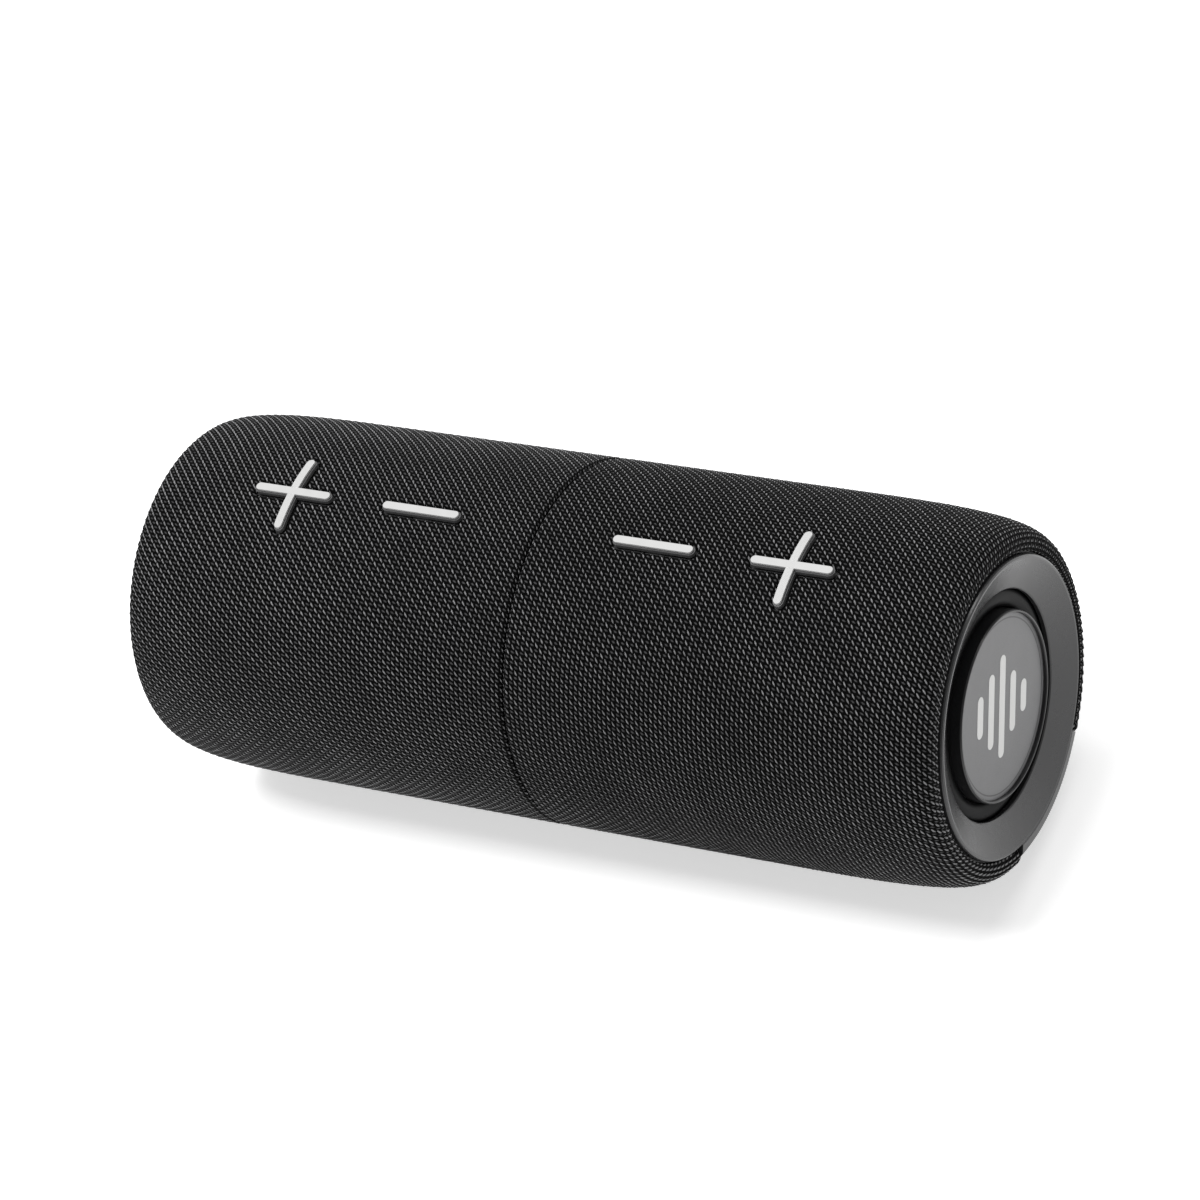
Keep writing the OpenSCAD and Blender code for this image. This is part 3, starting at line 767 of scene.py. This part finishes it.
def edge_roll(distance, radius):
    """How far a surface sinks at a distance from an edge that it rolls over."""
    short = np.clip(radius - distance, 0, radius)
    return radius - np.sqrt(radius * radius - short * short)


def turns_round(reach):
    """Turns about the axis, half a yarn apart, with a few more close to each edge of the strip."""
    columns = round(2 * reach * BODY_R / (YARN_ROUND / 2))
    regular = np.linspace(-reach, reach, columns + 1)
    fine = np.array(EDGE_COLUMNS) / BODY_R
    return np.sort(np.concatenate([regular, -reach + fine, reach - fine]))


def uneven_height(u, v, random):
    """The weave's height, with some crossings and some whole yarns higher than others."""
    height = weave_height(u, v)
    height += random.normal(0, CROSSING_SPREAD, height.shape)
    along = random.normal(0, YARN_SPREAD, (1, height.shape[1]))
    round_body = random.normal(0, YARN_SPREAD, (height.shape[0], 1))
    return height + (along + round_body)


def rounded_corner(turn, r, arc, reach):
    """Turns drawn in where a corner of the cloth is rounded, and distances inside the strip's edge."""
    to_end = arc[-1, 0] - CORNER_INSET - arc
    to_strip = (reach - np.abs(turn)) * r
    past = np.hypot(np.clip(CORNER_R - to_end, 0, None), np.clip(CORNER_R - to_strip, 0, None))
    in_corner = (to_end < CORNER_R) & (to_strip < CORNER_R)
    overshoot = np.where(in_corner, np.clip(past - CORNER_R, 0, None), 0)
    towards = np.where(in_corner, (CORNER_R - to_strip) / np.maximum(past, TINY), 0)
    inside = np.where(in_corner, CORNER_R - past + overshoot, np.minimum(to_strip, FAR))
    return turn - np.sign(turn) * overshoot * towards / r, inside


def drawn_to_slots(px, turn, r):
    """Points near a key slot drawn onto its outline, the ones just inside it to make its upright
    wall, and every point's distance outside the nearest slot."""
    py = -r * np.sin(turn)
    d, away_x, away_y = slot_distance(px, py)
    d = np.where(np.abs(turn) < math.pi / 2, d, FAR)

    def shifted(chosen, shift):
        new_x = np.where(chosen, px - shift * away_x, px)
        new_y = np.where(chosen, py - shift * away_y, py)
        return new_x, new_y, np.where(chosen, np.arcsin(np.clip(-new_y / r, -1, 1)), turn)

    near = np.abs(d) < SLOT_SNAP
    px, py, turn = shifted(near, d)
    d = np.where(near, 0, d)
    px, py, turn = shifted((d < 0) & (d > -SLOT_REACH), d + WALL_GAP)
    return px, turn, d


def with_sides(points, u, v, d):
    """The grids with one more row down each side of the strip, so that the cloth's edge has a side."""
    first, last = points[:, [0]].copy(), points[:, [-1]].copy()
    for edge in (first, last):
        size = np.linalg.norm(edge[..., 1:], axis=-1, keepdims=True)
        edge[..., 1:] *= (size - SIDE_DEPTH) / size
    points = np.concatenate([first, points, last], axis=1)
    u, d = (np.concatenate([k[:, [0]], k, k[:, [-1]]], axis=1) for k in (u, d))
    v = np.concatenate([v[:, [0]] - SIDE_YARNS, v, v[:, [-1]] + SIDE_YARNS], axis=1)
    return points, u, v, d


def woven_grid(name, side, points, u, v, d):
    """A mesh over a grid of points, open inside the key slots, with U and V counting yarns."""
    rows, cols = u.shape
    index = np.arange(rows * cols).reshape(rows, cols)
    quads = np.stack([index[:-1, :-1], index[:-1, 1:], index[1:, 1:], index[1:, :-1]], axis=-1)
    middle = (d[:-1, :-1] + d[:-1, 1:] + d[1:, 1:] + d[1:, :-1]) / 4
    quads = quads[middle > SLOT_OPEN]
    used = np.unique(quads)
    renumber = np.zeros(rows * cols, int)
    renumber[used] = np.arange(len(used))
    quads = renumber[quads]
    flat = points.reshape(-1, 3)[used]
    piece = new_piece(name, flat, quads.tolist(), unit_matrix(side), MATERIALS["cloth"])
    uv = np.stack([u.ravel()[used], v.ravel()[used]], axis=1)
    layer = piece.data.uv_layers.new(name="yarns")
    layer.data.foreach_set("uv", uv[quads.ravel()].astype(np.float32).ravel())
    return piece


def cloth_sleeve(side, seed):
    random = np.random.default_rng(seed)
    r, x, across, arc = sleeve_profile()
    reach = math.pi - STRIP_HALF_ANGLE
    turn = turns_round(reach)
    r, x, arc = (k[:, None] + np.zeros((1, len(turn))) for k in (r, x, arc))
    turn = turn[None, :] + np.zeros_like(r)
    u = arc / YARN_X
    v = (turn + reach) * BODY_R / YARN_ROUND
    height = uneven_height(u, v, random)
    slide = YARN_X * SLANT * np.cos(math.pi * u) * np.sin(math.pi * v)

    turn, inside = rounded_corner(turn, r, arc, reach)
    to_ends = np.minimum(arc / QUIET_SEAM, (arc[-1, 0] - arc) / QUIET_END)
    quiet = np.clip(np.minimum(to_ends, inside / QUIET_STRIP), LEAST_WEAVE, 1)
    px, turn, d = drawn_to_slots(x + slide * quiet, turn, r)
    sink = edge_roll(inside, STRIP_ROLL) + SLOT_SINK * edge_roll(np.clip(d, 0, None), SLOT_ROLL)
    quiet = quiet * np.clip(d / QUIET_SLOT, 0.0, 1)

    rise = WEAVE_RISE * height * quiet - sink
    rise = np.where(d < 0, TUCKED_R - r, rise)
    rise = np.minimum(rise, WEAVE_RISE)
    radius = r + rise * across[:, 0][:, None]
    px = px + rise * across[:, 1][:, None]
    points = np.stack([px, -radius * np.sin(turn), radius * np.cos(turn)], axis=-1)

    piece = woven_grid(f"cloth_{side}", side, *with_sides(points, u, v, d))
    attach(piece, f"{side}_unit")
    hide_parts(f"cloth_sleeve_{side}")


# --- Soft rings of the radiator and the driver ---------------------------------------------------
DISH_R, PUCK_GRIP_R = 24.4, 20.5
PUCK_R = span("radiator_puck_right", 1)[1]
# Where the driver's axis crosses the unit, and where its front lies
DRIVER_X, DRIVER_Y = 52, 29.45
SKIN_T, RADIATOR_ROLL, CONE_ROLL = 0.4, 1.3, 1.4
# The driver's surround in the driver's own frame: outside, roll's outer and inner edge, and height
CONE_RIM_R, CONE_OUTER_R, CONE_INNER_R, CONE_FACE_Z = 16.1, 15, 11.8, -0.15
# The spider: inside, width, height, depth and number of its waves, and thickness
SPIDER_R, SPIDER_W, SPIDER_Z = 5.2, 6.6, -6.15
SPIDER_WAVE, SPIDER_WAVES, SPIDER_T = 0.35, 3, 0.2
SPIDER_FIXED_R, SPIDER_MOVING_R = 11.6, 5.4


def driver_frame(side):
    """The driver's own frame: its axis along Z, its front at +Z."""
    place = Matrix.Translation((DRIVER_X, -DRIVER_Y, 0))
    return unit_matrix(side) @ place @ Matrix.Rotation(math.pi / 2, 4, "X")


def half_roll(inner, outer, base, rise, steps=24):
    """(radius, height) along a half round roll, from its inner to its outer edge."""
    middle, half = (inner + outer) / 2, (outer - inner) / 2
    turns = [math.pi * (1 - k / steps) for k in range(steps + 1)]
    return [(middle + half * math.cos(a), base + rise * math.sin(a)) for a in turns]


def roll_profile(rim, outer, inner, base, rise, thickness):
    """(radius, height) round a rubber roll's section, with its flat flange out to the rim."""
    over = half_roll(inner, outer, base, rise)
    under = half_roll(inner + thickness, outer - thickness, base - thickness, rise - 0.1)
    top = [(inner - 0.1, base), *over, (outer + 0.2, base), (rim, base)]
    return top + [(rim, base - thickness), *under[::-1], (inner - 0.1, base - thickness)]


def soft_ring(node, side, profile, matrix, slot, fixed_r, moving_r):
    """A flexible ring turned from a profile, in place of its CAD node. How far each point lies from its
    fixed outer edge towards its moving inner edge is worked out but not used.
    """
    points, faces = lathe(profile)
    piece = new_piece(f"{node}_skin_{side}", points, faces, matrix, MATERIALS[slot])
    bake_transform(piece)
    radii = np.hypot(*np.array(points)[:, :2].T)
    share = np.clip((fixed_r - radii) / (fixed_r - moving_r), 0, 1)
    share = share * share * (3 - 2 * share)
    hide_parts(f"{node}_{side}")


def spider_profile(steps=60):
    """(radius, height) round the section of the waved disc that centres the coil."""
    waves = []
    for k in range(steps + 1):
        swing = SPIDER_WAVE * math.sin(2 * math.pi * SPIDER_WAVES * k / steps)
        waves.append((SPIDER_R + SPIDER_W * k / steps, SPIDER_Z + swing))
    return waves + [(radius, height - SPIDER_T) for radius, height in waves[::-1]]


def soft_rings(side):
    crest = span("radiator_surround_right", 0)[1]
    rim = span("radiator_surround_right", 1)[1]
    radiator = roll_profile(rim, DISH_R + 0.2, PUCK_R + 0.1, crest - RADIATOR_ROLL, RADIATOR_ROLL, SKIN_T)
    soft_ring("radiator_surround", side, radiator, along_axis(side), "surround_rubber",
              DISH_R, PUCK_GRIP_R)
    cone = roll_profile(CONE_RIM_R, CONE_OUTER_R, CONE_INNER_R, CONE_FACE_Z, CONE_ROLL, SKIN_T)
    soft_ring("driver_surround", side, cone, driver_frame(side), "surround_rubber",
              CONE_OUTER_R, CONE_INNER_R)
    soft_ring("spider", side, spider_profile(), driver_frame(side), "spider_cloth",
              SPIDER_FIXED_R, SPIDER_MOVING_R)


# --- Key mat -------------------------------------------------------------------------------------
MAT_T, DOME_H = 0.08, 0.55
DOME_PROFILE = [
    (0, DOME_H), (1.6, DOME_H), (2.4, DOME_H - 0.06), (3, 0.2), (3.4, MAT_T), (3.4, 0), (0, 0),
]


def key_mat(side):
    """Thin silicone sheet on the button board, and a dome over each switch that its key presses flat."""
    low_x, high_x = span("key_mat_right", 0)
    low_y, base = (span("key_mat_right", axis)[0] for axis in (1, 2))
    outline = [(low_x, low_y), (high_x, low_y), (high_x, -low_y), (low_x, -low_y)]
    sheet = new_piece(f"key_mat_sheet_{side}", *slab(outline, base, base + MAT_T, bevel=0.01),
                      unit_matrix(side), MATERIALS["silicone"], smooth=False)
    pieces = [sheet]
    dome_part = lathe(DOME_PROFILE, steps=48, closed=False)
    for key in ("plus", "minus"):
        middle = sum(span(f"{key}_key_right", 0)) / 2
        place = unit_matrix(side) @ Matrix.Translation((middle, 0, base))
        dome = new_piece(f"{key}_dome_{side}", *dome_part, place, MATERIALS["silicone"])
        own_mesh(dome)
        pieces.append(dome)
    for piece in pieces:
        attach(piece, f"{side}_unit")
        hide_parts(f"key_mat_{side}")


# --- Print on the badge, symbols on the base buttons ---------------------------------------------
BAR_HEIGHTS = (9, 16, 22, 13, 7)
BAR_PITCH, BAR_WIDTH = 5, 2.6
# How far the print reaches into and stands out of the face that it lies on
BAR_SUNK, BAR_PROUD = 0.01, 0.04
SYMBOL_SUNK, SYMBOL_PROUD = 0.02, 0.03
# Inner and outer radius of the rings on the buttons, and half the distance between the linked ones
POWER_RING, LINK_RING, LINK_X = (1.15, 1.45), (0.75, 1.05), 0.62
# Where the power symbol's broken ring begins and ends
POWER_TURNS = (math.radians(125), math.radians(415))


def flat_print(name, part, matrix, body):
    piece = new_piece(name, *part, matrix, MATERIALS["print_ink"], smooth=False)
    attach(piece, body)


def badge_bars(side):
    """Five plain bars, upright when the body lies as it is shown, in place of any mark."""
    face = span("badge_right", 0)[1]
    upright = Matrix.Rotation(ROLL if side == "left" else -ROLL, 4, "Z")
    parts = []
    for k, height in enumerate(BAR_HEIGHTS):
        across = (k - (len(BAR_HEIGHTS) - 1) / 2) * BAR_PITCH
        bar = slab(stadium(height, BAR_WIDTH), face - BAR_SUNK, face + BAR_PROUD, bevel=0.015)
        parts.append(moved(bar, Matrix.Translation((0, across, 0))))
    turned = moved(joined(parts), upright)
    flat_print(f"badge_bars_{side}", turned, along_axis(side), f"{side}_radiator")


def arc_band(inner, outer, start, stop, steps=28):
    """Outline of a piece of a ring between two angles."""
    turns = [start + (stop - start) * k / steps for k in range(steps + 1)]
    out = [(outer * math.cos(a), outer * math.sin(a)) for a in turns]
    back = [(inner * math.cos(a), inner * math.sin(a)) for a in turns[::-1]]
    return out + back


def band_part(inner, outer, start, stop, low, high, steps=28):
    """A piece of a ring with flat faces, from low to high."""
    outline = arc_band(inner, outer, start, stop, steps)
    count = len(outline)
    points = [(x, y, z) for z in (low, high) for x, y in outline]
    faces = []
    for k in range(steps):
        a, b, c, d = k, k + 1, count - 2 - k, count - 1 - k
        faces += [[d, c, b, a], [count + a, count + b, count + c, count + d]]
    for k in range(count):
        after = (k + 1) % count
        faces.append([k, after, count + after, count + k])
    return points, faces


def base_symbols(side):
    """A broken ring and bar on the power button, and two linked rings on the other."""
    for body, node in (("power", "power_button_right"), ("mode", "mode_button_right")):
        low, high = span(node, 0)
        face = -span(node, 2)[0]
        place = Matrix.Translation(((low + high) / 2, 0, 0))
        under = unit_matrix(side) @ place @ Matrix.Rotation(math.pi, 4, "X")
        top = (face - SYMBOL_SUNK, face + SYMBOL_PROUD)
        if body == "power":
            ring = band_part(*POWER_RING, *POWER_TURNS, *top)
            bar = moved(slab(stadium(1.5, 0.3), *top, bevel=0.01), Matrix.Translation((0, 1.0, 0)) @ TURN_UP)
            parts = [ring, bar]
        else:
            ring = band_part(*LINK_RING, 0, 2 * math.pi, *top)
            parts = [moved(ring, Matrix.Translation((x, 0, 0))) for x in (-LINK_X, LINK_X)]
        flat_print(f"{body}_symbol_{side}", joined(parts), under, f"{side}_{body}")


# --- Screws with cross recesses ------------------------------------------------------------------
DOCK_SCREW_R, DRIVER_SCREW_R = 33.2, 18.6
QUARTERS = [math.radians(a) for a in (45, 135, 225, 315)]
BOARD_SCREWS = ((15.5, -11), (77, 11))
BOARD_Z = -30
# Head radius, head height, shank radius and shank length of each kind
DOCK_SCREW, DRIVER_SCREW, BOARD_SCREW = (2.2, 1.15, 1, 8), (1.5, 1.05, 0.75, 3.2), (1.6, 1.1, 0.75, 5)
# Where the faces of their heads lie: along the unit, along the driver, and above the board
DOCK_HEAD_X, DRIVER_HEAD_Z, BOARD_HEAD_RISE = 0.25, -2.3, 2.35
# Half length and half width of the cross, as shares of the head's radius
CROSS_LONG, CROSS_WIDE = 0.62, 0.13


def screw(head_r, head_t, shank_r, shank_len):
    """A pan head screw whose head's face is at z = 0, with a cross cut into it."""
    profile = [
        (0, 0), (head_r * 0.55, -0.02), (head_r * 0.85, -0.12), (head_r, -0.38), (head_r, -head_t),
        (shank_r, -head_t), (shank_r, -head_t - shank_len), (0, -head_t - shank_len),
    ]
    part = lathe(profile, steps=32, closed=False)
    arm = (head_r * CROSS_LONG, head_r * CROSS_WIDE)
    for size in (arm[::-1], arm):
        outline = [(-size[0], -size[1]), (size[0], -size[1]), (size[0], size[1]), (-size[0], size[1])]
        part = carved(part, slab(outline, -0.75 * head_t, 1, bevel=0))
    return part


def screws(side):
    dock, driver, board = (screw(*kind) for kind in (DOCK_SCREW, DRIVER_SCREW, BOARD_SCREW))
    in_driver = unit_matrix(side).inverted() @ driver_frame(side)
    parts = []
    for a in QUARTERS:
        place = Matrix.Translation((DOCK_HEAD_X, DOCK_SCREW_R * math.cos(a), DOCK_SCREW_R * math.sin(a)))
        parts.append(moved(dock, place @ Matrix.Rotation(-math.pi / 2, 4, "Y") @ Matrix.Rotation(a, 4, "Z")))
        x, y = DRIVER_SCREW_R * math.cos(a), DRIVER_SCREW_R * math.sin(a)
        place = Matrix.Translation((x, y, DRIVER_HEAD_Z))
        parts.append(moved(driver, in_driver @ place @ Matrix.Rotation(math.pi, 4, "X")))
    for x, y in BOARD_SCREWS:
        parts.append(moved(board, Matrix.Translation((x, y, BOARD_Z + BOARD_HEAD_RISE))))
    piece = new_piece(f"screws_cut_{side}", *joined(parts), unit_matrix(side), MATERIALS["screw_steel"],
                      smooth=False)
    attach(piece, f"{side}_unit")
    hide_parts(f"screws_{side}")


for number, side in enumerate(SIDES):
    cloth_sleeve(side, seed=11 + number)
    soft_rings(side)
    key_mat(side)
    badge_bars(side)
    base_symbols(side)
    screws(side)


# --- Floor and light ---------------------------------------------------------------------------
FLOOR_HALF, FLOOR_GLOW = 6000, 0.55
WORLD_STRENGTH = 0.34
FLOOR_TINTS = ((0.86, 0.86, 0.86), (0.88, 0.88, 0.88))


def floor():
    tree = Tree("floor")
    place = tree.millimetres()
    tree.set(
        Base_Color=tree.blend(tree.noise(place, 60.0), *FLOOR_TINTS),
        Roughness=0.9,
        Emission_Color=(1, 1, 1, 1),
        Emission_Strength=FLOOR_GLOW,
    )
    size = FLOOR_HALF
    corners = [(-size, -size, 0), (size, -size, 0), (size, size, 0), (-size, size, 0)]
    plane = new_piece("floor", corners, [[0, 1, 2, 3]], Matrix.Scale(MM, 4), tree.material)


def soft_box(name, azimuth, elevation, distance, size, power):
    """Area light placed round the level body and aimed at it."""
    back = direction(math.radians(azimuth), math.radians(elevation))
    data = bpy.data.lights.new(name, "AREA")
    data.shape, data.size, data.size_y, data.energy = "RECTANGLE", size[0], size[1], power
    light = bpy.data.objects.new(name, data)
    place = Matrix.Translation(back * distance) @ back.to_track_quat("Z", "Y").to_matrix().to_4x4()
    light.matrix_world = rolled() @ place
    bpy.context.scene.collection.objects.link(light)


def studio():
    world = bpy.data.worlds.new("studio")
    bpy.context.scene.world = world
    world.use_nodes = True
    background = world.node_tree.nodes["Background"]
    background.inputs["Color"].default_value = (1, 1, 1, 1)
    background.inputs["Strength"].default_value = WORLD_STRENGTH
    soft_box("front_light", azimuth=-14, elevation=38, distance=1.4, size=(0.6, 0.4), power=14)
    soft_box("top_light", azimuth=12, elevation=86, distance=1.4, size=(1.3, 0.35), power=9)
    bpy.context.scene.view_settings.view_transform = "Standard"


floor()
studio()
